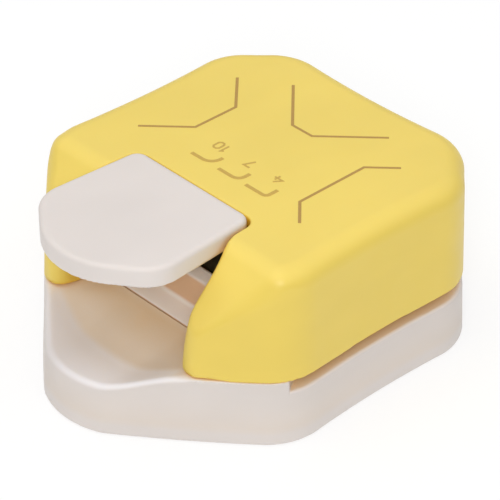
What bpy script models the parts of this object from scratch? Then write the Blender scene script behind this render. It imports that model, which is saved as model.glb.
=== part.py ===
"""Three-way corner rounder: a desk punch that rounds paper corners at three radii.

Plan positions are in millimetres from the punch centre, the point that the three V-shaped
fences surround: +X right, +Y back, -Y towards the thumb. Heights are above the table.
The finished parts are in metres, with the origin under the middle of the footprint.
"""

import math

import bmesh
import bpy
from mathutils import Matrix, Vector

MM = 0.001
GAP = 0.3                # clearance between two pieces that touch

# Body outline at the seam between cover and base: half widths and places of the eight corners.
HALF_WIDTH = 32.03
SIDE_FRONT_Y = -24.27
SIDE_BACK_Y = 17.45
BACK_Y = 28.80
BACK_HALF = 21.46
NOSE_Y = -45.74
NOSE_HALF = 7.35
SIDE_SAG = 0.99          # the sides and the back are slightly hollow
BACK_SAG = 1.31
BACK_DIAGONAL_SAG = 0.42
FRONT_DIAGONAL_SAG = -0.48   # a negative sag bulges outwards
NOSE_SAG = -1.82
SIDE_RADIUS = 11.75
NOSE_RADIUS = 6.19

# Heights.
TOTAL_H = 34.26
DECK_Z = 10.7            # floor of the paper slots
SLOT_TOP_Z = 13.16       # underside of the cover
LAND_Z = 13.0            # top of the base where the cover stands on it
CAVITY_Z = 6.6           # ceiling of the chip chamber

# Cover.
WALL = 2.4
DRAFT = 0.044
TOP_FILLET = 3.74
CHANNEL_HALF = 14.85     # the lever's channel between the cheeks, at WIDTH_Y
CHANNEL_BACK_Y = -17.3
CHANNEL_RADIUS = 2.5
CHEEK_WALL = 1.8
WIDTH_Y = -20.0          # where the widths of the channel and the paddle are measured
SIDE_LEAN = math.radians(3.3)    # both get wider towards the thumb
SLOPE_Y, SLOPE_Z = -27.3, 31.4   # a point on the cheeks' sloping front
SLOPE_RISE = 1.175
WEDGE_RADIUS = 3.0

# Base.
FLARE = 0.057
FOOT_RADIUS = 0.85
RIM = 1.9                # from the seam outline to the chip chamber's wall
DISH_BACK_Y, DISH_VALLEY_Y, DISH_END_Y = -26.5, -37.2, -53.5
DISH_DEPTH = 3.75
DISH_RISE = 0.21         # how much of the depth is lost again, per ramp length in front of the valley
DISH_FLAT = 6.0          # half width of its level middle
DISH_BACK_HALF, DISH_FRONT_HALF = 15.6, 18.0

# Punching.
CORNERS = {              # apex of each fence, direction its slot opens, punch radius
    "right": ((7.83, -0.16), 0.0, 10.0),
    "back": ((0.0, 5.56), 90.0, 4.0),
    "left": ((-8.71, -0.16), 180.0, 7.0),
}
FENCE_LEG = 17.1
OVERHANG = 0.7           # how far a punch reaches past the paper's edges
TIP = 0.5                # and past the ends of its arc
DIE_CLEARANCE = 0.15
PUNCH_Z = 13.6           # cutting edges at rest
CARRIER_Z, CARRIER_TOP_Z = 23.5, 26.4
TENON_ROOT = 0.5         # how far a tenon goes down into its punch; it stays above the guide plate
FENCE_FRONT_Y = -14.0

# Lever.
PIVOT_Y, PIVOT_Z = 20.0, 27.5
PADDLE_HALF = 14.38      # at WIDTH_Y
PADDLE_BACK_Y, PADDLE_TIP_Y = -17.9, -47.65
PADDLE_Z0, PADDLE_Z1 = 31.25, 35.05
PADDLE_HOLLOW_Z = 33.05  # underside of the paddle's top
PADDLE_BACK_R, PADDLE_SHOULDER_R, PADDLE_NOSE_R = 2.5, 7.1, 14.5
PADDLE_SLANT = math.radians(37.5)
ARM_IN, ARM_OUT = 7.5, 10.5
BOSS_R = 3.2             # round the pivot, on the arms and on the frame's ears
WEB_HALF = 9.5
CAM_Y, CAM_Z, CAM_R = -1.0, 28.0, 1.2
LEVER_PIN_R, LEVER_PIN_LENGTH = 1.5, 26.2

# Posts, springs and screws.
POSTS = {"front": (0.0, -7.5), "left": (-6.7, 5.5), "right": (6.7, 5.5)}
POST_R = 1.1
SPRING_R, SPRING_WIRE_R, SPRING_TURNS = 2.2, 0.25, 4.5
COVER_SCREWS = {
    "front_left": (-20.5, -21.5),
    "front_right": (20.5, -21.5),
    "back_left": (-15.4, 14.2),
    "back_right": (15.4, 14.2),
}
GUIDE_SCREWS = {"left": (-13.5, -13.5), "right": (13.5, -13.5)}

# Chip lid.
LID_AXIS_Y, LID_AXIS_Z = 23.0, 2.3
LID_BACK_Y = 24.0
LID_PIN_R, LID_PIN_LENGTH = 0.75, 26.4
LUG_IN, LUG_OUT = 11.4, 13.4     # the base's lugs that hold the lid pin

COLOURS = {              # base colour, roughness, metallic
    "yellow": ((0.86, 0.66, 0.16), 0.42, 0.0),
    "white": ((0.75, 0.70, 0.66), 0.5, 0.0),
    "steel": ((0.62, 0.62, 0.62), 0.3, 1.0),
    "black_steel": ((0.05, 0.05, 0.05), 0.45, 1.0),
}

parts = bpy.data.collections.new("corner_rounder")
cutters = bpy.data.collections.new("cutters")


# ---------------------------------------------------------------- plan geometry

def circle_crossing(c1, r1, c2, r2, near):
    """The crossing of two circles that lies nearer to a point."""
    span = c2 - c1
    length = span.length
    along = (r1 * r1 - r2 * r2 + length * length) / (2 * length)
    across = math.sqrt(max(r1 * r1 - along * along, 0.0))
    middle = c1 + span * (along / length)
    normal = Vector((-span.y, span.x)) / length
    options = [middle + normal * across, middle - normal * across]
    return min(options, key=lambda p: (p - near).length)


def arc(centre, radius, start, end, steps):
    """Points on an arc, both ends included; angles in radians."""
    angles = [start + (end - start) * i / steps for i in range(steps + 1)]
    return [(centre[0] + radius * math.cos(a), centre[1] + radius * math.sin(a)) for a in angles]


def body_sides():
    """The eight side arcs as (centre, radius, sign) and the eight corner fillets as (centre, radius).

    The sign is 1 where the side is hollow and -1 where it bulges.
    """
    w = HALF_WIDTH
    corners = [Vector(p) for p in (
        (w, SIDE_FRONT_Y), (w, SIDE_BACK_Y), (BACK_HALF, BACK_Y), (-BACK_HALF, BACK_Y),
        (-w, SIDE_BACK_Y), (-w, SIDE_FRONT_Y), (-NOSE_HALF, NOSE_Y), (NOSE_HALF, NOSE_Y))]
    sags = [SIDE_SAG, BACK_DIAGONAL_SAG, BACK_SAG, BACK_DIAGONAL_SAG,
            SIDE_SAG, FRONT_DIAGONAL_SAG, NOSE_SAG, FRONT_DIAGONAL_SAG]
    radii = [SIDE_RADIUS] * 6 + [NOSE_RADIUS] * 2
    sides = []
    for i, sag in enumerate(sags):
        a, b = corners[i], corners[(i + 1) % 8]
        chord = (b - a).length
        radius = (chord * chord / 4 + sag * sag) / (2 * abs(sag))
        along = (b - a) / chord
        outward = Vector((along.y, -along.x))
        sign = 1 if sag > 0 else -1
        centre = (a + b) / 2 + outward * (radius * sign - sag)
        sides.append((centre, radius, sign))
    fillets = []
    for i, radius in enumerate(radii):
        (c1, r1, k1), (c2, r2, k2) = sides[i - 1], sides[i]
        centre = circle_crossing(c1, r1 + k1 * radius, c2, r2 + k2 * radius, corners[i])
        fillets.append((centre, radius))
    return sides, fillets


SIDES, FILLETS = body_sides()


def outline(inset=0.0, corner_steps=5, side_steps=4):
    """The body's outline, counter-clockwise, moved inwards by inset."""
    points = []
    for i in range(8):
        (c1, _, k1), (c2, r2, k2) = SIDES[i - 1], SIDES[i]
        centre, radius = FILLETS[i]
        towards1, towards2 = (c1 - centre) * k1, (c2 - centre) * k2
        start = math.atan2(towards1.y, towards1.x)
        sweep = (math.atan2(towards2.y, towards2.x) - start) % (2 * math.pi)
        points += arc(centre, radius - inset, start, start + sweep, corner_steps)
        following = FILLETS[(i + 1) % 8][0]
        first = math.atan2(centre.y - c2.y, centre.x - c2.x)
        last = math.atan2(following.y - c2.y, following.x - c2.x)
        swing = (last - first + math.pi) % (2 * math.pi) - math.pi
        points += arc(c2, r2 + k2 * inset, first, first + swing, side_steps)[1:-1]
    return points


def foot_centre_y():
    """Y of the middle of the widest ring of the base, which becomes the origin."""
    ys = [p[1] for p in outline(-FLARE * (DECK_Z - FOOT_RADIUS))]
    return (min(ys) + max(ys)) / 2


ORIGIN_Y = foot_centre_y()


def local_frame(corner):
    """Unit vectors along the two legs of a fence, and its apex."""
    (x, y), heading, _ = CORNERS[corner]
    first = math.radians(heading + 45)
    second = math.radians(heading - 45)
    return Vector((x, y)), Vector((math.cos(first), math.sin(first))), Vector(
        (math.cos(second), math.sin(second)))


def at_corner(corner, points):
    """Plan points from distances (a, b) along the two legs of a fence."""
    apex, leg1, leg2 = local_frame(corner)
    return [tuple(apex + leg1 * a + leg2 * b) for a, b in points]


def punch_outline(corner, grow=0.0):
    """The piece of paper a punch removes, with its overhang, grown on every side by grow."""
    radius = CORNERS[corner][2]
    back = -(OVERHANG + grow)
    tip = radius + TIP + grow
    curve = [(radius + (radius - grow) * math.cos(t), radius + (radius - grow) * math.sin(t))
             for t in (math.radians(-90 - 90 * i / 8) for i in range(9))]
    return at_corner(corner, [(back, back), (back, tip), (grow, tip)] + curve[::-1]
                     + [(tip, grow), (tip, back)])


def relief(corner):
    """The fence's path past a punch, from its second leg to its first."""
    back = -(OVERHANG + GAP)
    tip = CORNERS[corner][2] + TIP + GAP
    return [(0, tip), (back, tip), (back, back), (tip, back), (tip, 0)]


def leg_x(corner, y):
    """X where the front leg of the right or left fence reaches y."""
    (x, apex_y), _, _ = CORNERS[corner]
    side = 1 if corner == "right" else -1
    return x + side * (apex_y - y)


# ---------------------------------------------------------------- solids

def to_world(x, y, z):
    return Vector((x, y - ORIGIN_Y, z)) * MM


def material(name):
    if name in bpy.data.materials:
        return bpy.data.materials[name]
    colour, roughness, metallic = COLOURS[name]
    made = bpy.data.materials.new(name)
    made.use_nodes = True
    shader = made.node_tree.nodes["Principled BSDF"]
    shader.inputs["Base Color"].default_value = (*colour, 1)
    shader.inputs["Roughness"].default_value = roughness
    shader.inputs["Metallic"].default_value = metallic
    return made


def add(name, mesh, colour):
    """A new object; with no colour it is a cutter or a piece of a union."""
    if colour:
        mesh.materials.append(material(colour))
    obj = bpy.data.objects.new(name, mesh)
    (parts if colour else cutters).objects.link(obj)
    if not colour:
        obj.hide_render = True
        obj.display_type = "WIRE"
    return obj


def finished_mesh(name, bm):
    bmesh.ops.recalc_face_normals(bm, faces=bm.faces)
    mesh = bpy.data.meshes.new(name)
    bm.to_mesh(mesh)
    bm.free()
    return mesh


def loft(name, rings, colour=None):
    """A closed solid through rings of equal length, each (height, plan points)."""
    bm = bmesh.new()
    loops = [[bm.verts.new(to_world(x, y, z)) for x, y in points] for z, points in rings]
    count = len(loops[0])
    for low, high in zip(loops, loops[1:]):
        for i in range(count):
            j = (i + 1) % count
            bm.faces.new((low[i], low[j], high[j], high[i]))
    bm.faces.new(loops[0][::-1])
    bm.faces.new(loops[-1])
    return add(name, finished_mesh(name, bm), colour)


def prism(name, points, z0, z1, colour=None, holes=()):
    """A flat outline with holes, extruded from z0 to z1: a filled 2D curve made a mesh."""
    curve = bpy.data.curves.new(name, "CURVE")
    curve.dimensions = "2D"
    curve.fill_mode = "BOTH"
    curve.extrude = (z1 - z0) / 2 * MM
    for loop in [points, *holes]:
        spline = curve.splines.new("POLY")
        spline.points.add(len(loop) - 1)
        spline.use_cyclic_u = True
        for point, (x, y) in zip(spline.points, loop):
            point.co = (*to_world(x, y, 0)[:2], 0, 1)
    drawn = bpy.data.objects.new(name, curve)
    cutters.objects.link(drawn)
    drawn.location.z = (z0 + z1) / 2 * MM
    return as_mesh(name, drawn, colour)


def as_mesh(name, drawn, colour):
    """Turns a curve object into a mesh object with its caps welded."""
    bpy.context.view_layer.update()
    mesh = bpy.data.meshes.new_from_object(drawn.evaluated_get(bpy.context.evaluated_depsgraph_get()))
    bm = bmesh.new()
    bm.from_mesh(mesh)
    bmesh.ops.transform(bm, matrix=drawn.matrix_world, verts=bm.verts)
    bmesh.ops.remove_doubles(bm, verts=bm.verts, dist=1e-7)
    bmesh.ops.recalc_face_normals(bm, faces=bm.faces)
    bm.to_mesh(mesh)
    bm.free()
    mesh.materials.clear()
    bpy.data.objects.remove(drawn)
    mesh.name = name
    return add(name, mesh, colour)


def box(name, x, y, z, colour=None):
    """A box from pairs of low and high limits."""
    bm = bmesh.new()
    bmesh.ops.create_cube(bm, size=1.0)
    low = to_world(x[0], y[0], z[0])
    high = to_world(x[1], y[1], z[1])
    bmesh.ops.scale(bm, vec=high - low, verts=bm.verts)
    bmesh.ops.translate(bm, vec=(low + high) / 2, verts=bm.verts)
    return add(name, finished_mesh(name, bm), colour)


def cylinder(name, centre, radius, length, axis="Z", colour=None, sides=24):
    """A cylinder about its centre, along X or Z."""
    bm = bmesh.new()
    bmesh.ops.create_cone(bm, cap_ends=True, segments=sides, radius1=radius * MM,
                          radius2=radius * MM, depth=length * MM)
    if axis == "X":
        for vert in bm.verts:
            vert.co = Vector((vert.co.z, vert.co.y, vert.co.x))
    bmesh.ops.translate(bm, vec=to_world(*centre), verts=bm.verts)
    return add(name, finished_mesh(name, bm), colour)


def post(name, x, y, z0, z1, radius, colour=None, sides=24):
    return cylinder(name, (x, y, (z0 + z1) / 2), radius, z1 - z0, "Z", colour, sides)


def turned(name, x, y, profile, colour, steps=20):
    """A turned piece: (radius, height) points from the top to the bottom, spun about Z."""
    bm = bmesh.new()
    verts = [bm.verts.new((r * MM, 0, z * MM)) for r, z in profile]
    for a, b in zip(verts, verts[1:]):
        bm.edges.new((a, b))
    mesh = bpy.data.meshes.new(name)
    bm.to_mesh(mesh)
    bm.free()
    obj = add(name, mesh, colour)
    obj.location = to_world(x, y, 0)
    screw = obj.modifiers.new("turn", "SCREW")
    screw.steps = steps
    screw.render_steps = steps
    screw.use_merge_vertices = True
    screw.merge_threshold = 1e-6
    return obj


def side_prism(name, x, profile, colour=None):
    """A (y, z) outline extruded along X between a pair of limits."""
    bm = bmesh.new()
    near = [bm.verts.new(to_world(x[0], y, z)) for y, z in profile]
    far = [bm.verts.new(to_world(x[1], y, z)) for y, z in profile]
    for i in range(len(profile)):
        j = (i + 1) % len(profile)
        bm.faces.new((near[i], near[j], far[j], far[i]))
    bm.faces.new(near[::-1])
    bm.faces.new(far)
    return add(name, finished_mesh(name, bm), colour)


def boolean(obj, tool, operation="DIFFERENCE"):
    step = obj.modifiers.new(tool.name, "BOOLEAN")
    step.operation = operation
    step.object = tool
    step.solver = "EXACT"


def cut(obj, *tools):
    for tool in tools:
        boolean(obj, tool)


def join(obj, *tools):
    for tool in tools:
        boolean(obj, tool, "UNION")


def ring(x, y, radius, steps=16):
    """A closed circle of plan points, for a round hole."""
    return arc((x, y), radius, 0, 2 * math.pi, steps)[:-1]


# ---------------------------------------------------------------- cover and base

def slope_y(z, inset=0.0):
    """Y of the cheeks' sloping front at a height, moved inwards by inset."""
    return SLOPE_Y + (z - SLOPE_Z) / SLOPE_RISE + inset * math.hypot(1, 1 / SLOPE_RISE)


def slope_cutter(name, inset, top):
    """Everything in front of the cheeks' sloping front, down to where it turns upright."""
    low = 18.0
    profile = [(-70, low), (slope_y(low, inset), low), (slope_y(top, inset), top), (-70, top)]
    return side_prism(name, (-45, 45), profile)


def leaning_x(half, y, inset):
    """X of a line that leans like the channel's sides, moved inwards by inset."""
    return half + (WIDTH_Y - y) * math.tan(SIDE_LEAN) - inset / math.cos(SIDE_LEAN)


def channel_outline(half):
    """Plan of the lever's channel, flared in front by the rounded noses of the cheeks."""
    corner_y = CHANNEL_BACK_Y - CHANNEL_RADIUS
    corner = arc((leaning_x(half, corner_y, CHANNEL_RADIUS), corner_y), CHANNEL_RADIUS,
                 SIDE_LEAN, math.pi / 2, 4)
    centre_y = -32.7
    centre_x = leaning_x(half, centre_y, -WEDGE_RADIUS)
    diagonal = math.radians(-51.0)
    nose = arc((centre_x, centre_y), WEDGE_RADIUS, diagonal, SIDE_LEAN - math.pi, 6)
    right = [(30, -60), (centre_x + 12, -43.0)] + nose + corner
    return right + [(-x, y) for x, y in reversed(right)]


def top_cover():
    shoulder_z = TOTAL_H - TOP_FILLET
    lean = DRAFT * (shoulder_z - SLOT_TOP_Z)
    rings = [(SLOT_TOP_Z, outline()), (shoulder_z, outline(lean))]
    for i in range(1, 6):
        angle = math.radians(18 * i)
        rings.append((shoulder_z + TOP_FILLET * math.sin(angle),
                      outline(lean + TOP_FILLET * (1 - math.cos(angle)))))
    cover = loft("top_cover", rings, "yellow")
    cut(cover, slope_cutter("cover_slope", 0.0, 45.0))

    ceiling_z = TOTAL_H - WALL
    hollow = loft("cover_hollow", [
        (10.0, outline(WALL)),
        (ceiling_z - 2.5, outline(WALL + lean)),
        (ceiling_z, outline(WALL + lean + 2.0))])
    cut(hollow, slope_cutter("hollow_slope", CHEEK_WALL, 45.0))
    for side in (-1, 1):
        walls = sorted((side * (CHANNEL_HALF - 1), side * (CHANNEL_HALF + 0.5 + CHEEK_WALL)))
        cut(hollow, box(f"channel_wall_{side}", walls, (-60, -18), (5, 45)))
    cut(cover, hollow)
    cut(cover, prism("cover_channel", channel_outline(CHANNEL_HALF), 5, 45))
    for where, (x, y) in COVER_SCREWS.items():
        low = SLOT_TOP_Z if "front" in where else 15.2
        join(cover, post(f"cover_boss_{where}", x, y, low, ceiling_z + 1, 2.8))
        cut(cover, post(f"cover_pilot_{where}", x, y, 5, 22, 1.35, sides=16))
    return cover


def smooth_step(t):
    t = min(max(t, 0.0), 1.0)
    return t * t * (3 - 2 * t)


def smooth_min(a, b, reach):
    """The lower of two values, blended where they differ by less than reach."""
    overlap = max(reach - abs(a - b), 0.0)
    return min(a, b) - overlap * overlap / (4 * reach)


def dish_z(x, y):
    """Height of the thumb dish: a ramp down to a valley, then a gentle rise to the nose."""
    along = (DISH_BACK_Y - y) / (DISH_BACK_Y - DISH_VALLEY_Y)
    depth = DISH_DEPTH * max(smooth_min(along, 1 - DISH_RISE * (along - 1), 0.3), 0.0)
    half = DISH_BACK_HALF + (DISH_FRONT_HALF - DISH_BACK_HALF) * smooth_step(along - 0.3)
    return LAND_Z - depth * (1 - smooth_step((abs(x) - DISH_FLAT) / (half - DISH_FLAT)))


def dish_cutter():
    """The space above the dish: a grid of heights under a flat lid."""
    columns, rows = 20, 16
    start, length = DISH_BACK_Y + 0.05, DISH_BACK_Y - DISH_END_Y
    bm = bmesh.new()
    floor, lid = [], []
    for j in range(rows + 1):
        y = start - length * j / rows
        xs = [DISH_FRONT_HALF * (2 * i / columns - 1) for i in range(columns + 1)]
        floor.append([bm.verts.new(to_world(x, y, dish_z(x, y) + 0.02)) for x in xs])
        lid.append([bm.verts.new(to_world(x, y, 25)) for x in xs])
    for sheet in (floor, lid):
        for j in range(rows):
            for i in range(columns):
                bm.faces.new((sheet[j][i], sheet[j][i + 1], sheet[j + 1][i + 1], sheet[j + 1][i]))
    for j in range(rows):
        for i in (0, columns):
            bm.faces.new((floor[j][i], floor[j + 1][i], lid[j + 1][i], lid[j][i]))
    for i in range(columns):
        for j in (0, rows):
            bm.faces.new((floor[j][i], floor[j][i + 1], lid[j][i + 1], lid[j][i]))
    return add("dish", finished_mesh("dish", bm), None)


def base_housing():
    widest = -FLARE * (DECK_Z - FOOT_RADIUS)
    base = loft("base_housing", [
        (0.0, outline(widest + FOOT_RADIUS - 0.05)),
        (FOOT_RADIUS * 0.29, outline(widest + FOOT_RADIUS * 0.29)),
        (FOOT_RADIUS, outline(widest)),
        (DECK_Z, outline()),
        (LAND_Z, outline())], "white")
    chamber = loft("chip_chamber", [(-5, outline(RIM)), (CAVITY_Z, outline(RIM))])
    cut(chamber, box("chamber_back", (-45, 45), (LID_BACK_Y + 1.3, 60), (-10, 20)))
    cut(base, chamber)
    front = FENCE_FRONT_Y - GAP
    reach = 45.0
    cut(base, prism("paper_slots", [
        (reach, CORNERS["right"][0][1] - (reach - CORNERS["right"][0][0])),
        (reach, 60), (-reach, 60),
        (-reach, CORNERS["left"][0][1] - (reach + CORNERS["left"][0][0])),
        (leg_x("left", front), front), (leg_x("right", front), front)], DECK_Z, 20))
    cut(base, box("flange_seat", (-14.75, 14.75), (DISH_BACK_Y, 0), (11.2, 20)))
    cut(base, dish_cutter())
    cut(base, prism("die_seat", plate_outline(18.3, -11.8, 0.3), DECK_Z - 2.0, 20))
    for corner in CORNERS:
        cut(base, prism(f"chip_hole_{corner}", punch_outline(corner, 0.8), 3, 15))
    for where, (x, y) in COVER_SCREWS.items():
        cut(base, post(f"base_hole_{where}", x, y, 3, 20, 1.45, sides=16))
    for side in (-1, 1):
        limits = sorted((side * LUG_IN, side * LUG_OUT))
        depth = (LID_AXIS_Y - 1.8, LID_AXIS_Y + 1.8)
        join(base, box(f"lid_lug_{side}", limits, depth, (0.7, CAVITY_Z + 0.6)))
    cut(base, cylinder("lid_pin_hole", (0, LID_AXIS_Y, LID_AXIS_Z), LID_PIN_R + 0.2, 40, "X", sides=16))
    return base


def plate_outline(half, front, grow=0.0):
    """Outline that the steel plates share, with its back corners cut off beside the screw bosses."""
    half += grow
    slant = grow * 0.6
    return [(-half, front - grow), (half, front - grow), (half, 8.6 + slant), (13.5 + slant, 11.5 + grow),
            (-13.5 - slant, 11.5 + grow), (-half, 8.6 + slant)]


def bottom_lid():
    inset = RIM + GAP
    lid = loft("bottom_lid", [(0.4, outline(inset)), (3.2, outline(inset))], "white")
    behind = box("lid_back_trim", (-45, 45), (LID_BACK_Y, 60), (-5, 20))
    tray = loft("lid_tray", [(1.8, outline(inset + 1.4)), (10, outline(inset + 1.4))])
    cut(tray, box("tray_back_trim", (-45, 45), (19.0, 60), (-5, 20)))
    cut(lid, behind, tray, box("lid_back_step", (-45, 45), (20.2, 60), (2.0, 20)))
    for side in (-1, 1):
        # The back corners are cut away where they would swing into the chamber's rounded corners.
        clear = [(20.9, 60), (20.9, 20.3), (24.8, 20.3), (27.8, 17.3), (45, 17.3), (45, 60)]
        cut(lid, prism(f"lid_corner_{side}", [(side * x, y) for x, y in clear], -5, 20))
        notch = sorted((side * (LUG_IN - GAP), side * (LUG_OUT + GAP)))
        cut(lid, box(f"lid_notch_{side}", notch, (20.5, 60), (-5, 20)))
        join(lid, cylinder(f"lid_knuckle_{side}", (side * 9.4, LID_AXIS_Y, LID_AXIS_Z), 1.6, 3.0,
                           "X", sides=16))
    cut(lid, cylinder("lid_bore", (0, LID_AXIS_Y, LID_AXIS_Z), LID_PIN_R + 0.2, 24, "X", sides=16))
    cut(lid, post("finger_notch", 0, -45.5, -5, 10, 5.0))
    return lid


# ---------------------------------------------------------------- inside

def inner_frame():
    inner = WALL + GAP
    frame = loft("inner_frame", [(SLOT_TOP_Z + 0.14, outline(inner)), (14.9, outline(inner))], "white")
    cut(frame, box("frame_front", (-45, 45), (-60, -17.5), (5, 40)))
    half = 14.55
    join(frame, box("frame_tongue", (1 - half, half - 1), (-20.8, -17.0), (13.3, 14.9)))
    join(frame, box("frame_wall", (-half, half), (-22.2, -19.3), (11.5, 20.3)))
    join(frame, box("frame_flange", (-half, half), (DISH_BACK_Y + 0.2, -21.6), (11.5, 13.05)))
    for side in (-1, 1):
        ear = box(f"ear_{side}", sorted((side * 11.1, side * 13.3)), (16.8, 23.2), (14.0, PIVOT_Z))
        crown = cylinder(f"ear_crown_{side}", (side * 12.2, PIVOT_Y, PIVOT_Z), BOSS_R, 2.2, "X")
        join(frame, ear, crown)
    cut(frame, cylinder("ear_bore", (0, PIVOT_Y, PIVOT_Z), LEVER_PIN_R + 0.12, 40, "X"))
    for corner in CORNERS:
        cut(frame, prism(f"frame_hole_{corner}", punch_outline(corner, 0.4), 5, 18))
    for name, (x, y) in POSTS.items():
        cut(frame, post(f"frame_post_{name}", x, y, 5, 18, POST_R + 0.12, sides=16))
    for name, (x, y) in GUIDE_SCREWS.items():
        cut(frame, post(f"frame_guide_screw_{name}", x, y, 5, 18, 1.25, sides=16))
    for where, (x, y) in COVER_SCREWS.items():
        if "back" in where:
            cut(frame, post(f"frame_screw_{where}", x, y, 5, 18, 1.45, sides=16))
    return frame


def steel_plates():
    """The die plate under the paper and the thick guide plate above it."""
    prism("die_plate", plate_outline(18.3, -11.8), DECK_Z - 1.7, DECK_Z - 0.02, "steel",
          [punch_outline(c, DIE_CLEARANCE) for c in CORNERS])
    holes = [punch_outline(c, DIE_CLEARANCE) for c in CORNERS]
    holes += [ring(x, y, SPRING_R + SPRING_WIRE_R + 0.6) for x, y in POSTS.values()]
    holes += [ring(x, y, 1.25, 12) for x, y in GUIDE_SCREWS.values()]
    prism("guide_plate", plate_outline(18.5, -17.2), 15.2, 18.2, "black_steel", holes)


def paper_fence():
    """The X-shaped spacer whose edges stop the paper."""
    leg = FENCE_LEG
    path = [(leg_x("right", FENCE_FRONT_Y), FENCE_FRONT_Y)]
    path += at_corner("right", relief("right") + [(leg, 0)])
    path += [(18.0, 16.0)]
    path += at_corner("back", [(0, leg)] + relief("back") + [(leg, 0)])
    path += [(-18.0, 16.0)]
    path += at_corner("left", [(0, leg)] + relief("left"))
    path += [(leg_x("left", FENCE_FRONT_Y), FENCE_FRONT_Y)]
    holes = [ring(x, y, 1.45) for where, (x, y) in COVER_SCREWS.items() if "back" in where]
    prism("paper_fence", path, DECK_Z + GAP, LAND_Z, "white", holes)


def tenon(corner):
    """Place and radius of the round tenon on a punch, in the middle of its thickest part."""
    radius = CORNERS[corner][2]
    depth = radius * (1 - math.sqrt(0.5)) / 2 - OVERHANG / 4
    return at_corner(corner, [(depth * 0.5, depth * 0.5)])[0], 0.5 + radius * 0.1


def punches():
    """The three punches, each with a tenon that is riveted over on the carrier."""
    made = []
    for corner, (_, _, radius) in CORNERS.items():
        (x, y), tenon_r = tenon(corner)
        punch = prism(f"punch_r{radius:.0f}", punch_outline(corner), PUNCH_Z, CARRIER_Z - GAP, "steel")
        join(punch, post(f"tenon_{corner}", x, y, CARRIER_Z - TENON_ROOT, CARRIER_TOP_Z + 0.6, tenon_r,
                         sides=16))
        join(punch, post(f"rivet_{corner}", x, y, CARRIER_TOP_Z + GAP, CARRIER_TOP_Z + 1.0,
                         tenon_r + 0.5, sides=16))
        made.append(punch)
    return made


def punch_carrier():
    outline_points = [(-16.8, -10.8), (16.8, -10.8), (16.8, 8.2), (12.5, 10.8), (-12.5, 10.8), (-16.8, 8.2)]
    holes = [ring(x, y, POST_R + 0.15) for x, y in POSTS.values()]
    for corner in CORNERS:
        (x, y), tenon_r = tenon(corner)
        holes.append(ring(x, y, tenon_r + 0.15))
    return prism("punch_carrier", outline_points, CARRIER_Z, CARRIER_TOP_Z, "black_steel", holes)


def posts_and_springs():
    for name, (x, y) in POSTS.items():
        turned(f"guide_post_{name}", x, y, [
            (0, 25.0), (POST_R - 0.3, 25.0), (POST_R, 24.7), (POST_R, 13.5), (0, 13.5)], "steel", 16)
        coil_spring(f"return_spring_{name}", x, y, 15.05, 23.35)


def coil_spring(name, x, y, z0, z1):
    """A compression spring with flat-lying ends."""
    per_turn = 10
    count = int(SPRING_TURNS * per_turn)
    low, high = z0 + SPRING_WIRE_R, z1 - SPRING_WIRE_R
    curve = bpy.data.curves.new(name, "CURVE")
    curve.dimensions = "3D"
    curve.bevel_depth = SPRING_WIRE_R * MM
    curve.bevel_resolution = 2
    curve.use_fill_caps = True
    spline = curve.splines.new("POLY")
    spline.points.add(count)
    for i, point in enumerate(spline.points):
        angle = 2 * math.pi * i / per_turn
        height = low + (high - low) * i / count
        place = to_world(x + SPRING_R * math.cos(angle), y + SPRING_R * math.sin(angle), height)
        point.co = (*place, 1)
    drawn = bpy.data.objects.new(name, curve)
    cutters.objects.link(drawn)
    return as_mesh(name, drawn, "steel")


def screws():
    for where, (x, y) in COVER_SCREWS.items():
        turned(f"cover_screw_{where}", x, y, [
            (0, 20.5), (0.5, 20.5), (1.15, 19.2), (1.15, 6.2), (2.3, 6.2), (2.3, 5.3), (1.7, 4.8),
            (0, 4.8)], "steel", 16)
    for side, (x, y) in GUIDE_SCREWS.items():
        turned(f"guide_screw_{side}", x, y, [
            (0, 19.5), (1.4, 19.5), (1.9, 19.0), (1.9, 18.5), (1.0, 18.5), (1.0, 13.6), (0, 13.6)],
            "steel", 16)


# ---------------------------------------------------------------- lever and pins

def paddle_outline(inset=0.0):
    """Plan of the thumb paddle: rounded corners, a blunt pointed front, sides that lean outwards."""
    corner_y = PADDLE_BACK_Y - PADDLE_BACK_R
    corner_x = leaning_x(PADDLE_HALF, corner_y, PADDLE_BACK_R)
    corner = arc((corner_x, corner_y), PADDLE_BACK_R - inset, SIDE_LEAN, math.pi / 2, 4)
    nose_y = PADDLE_TIP_Y + PADDLE_NOSE_R
    nose = arc((0, nose_y), PADDLE_NOSE_R - inset,
               -math.pi / 2 - PADDLE_SLANT, -math.pi / 2 + PADDLE_SLANT, 8)
    # The shoulder's centre is one shoulder radius inside both the slant and the leaning side.
    slant_x = (PADDLE_NOSE_R - PADDLE_SHOULDER_R) / math.sin(PADDLE_SLANT)
    side_x = leaning_x(PADDLE_HALF, nose_y, PADDLE_SHOULDER_R)
    rise = (side_x - slant_x) / (1 / math.tan(PADDLE_SLANT) + math.tan(SIDE_LEAN))
    centre = (slant_x + rise / math.tan(PADDLE_SLANT), nose_y + rise)
    shoulder = arc(centre, PADDLE_SHOULDER_R - inset, PADDLE_SLANT - math.pi / 2, SIDE_LEAN, 4)
    side = shoulder + corner
    return [(-x, y) for x, y in reversed(side)] + nose + side


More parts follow.
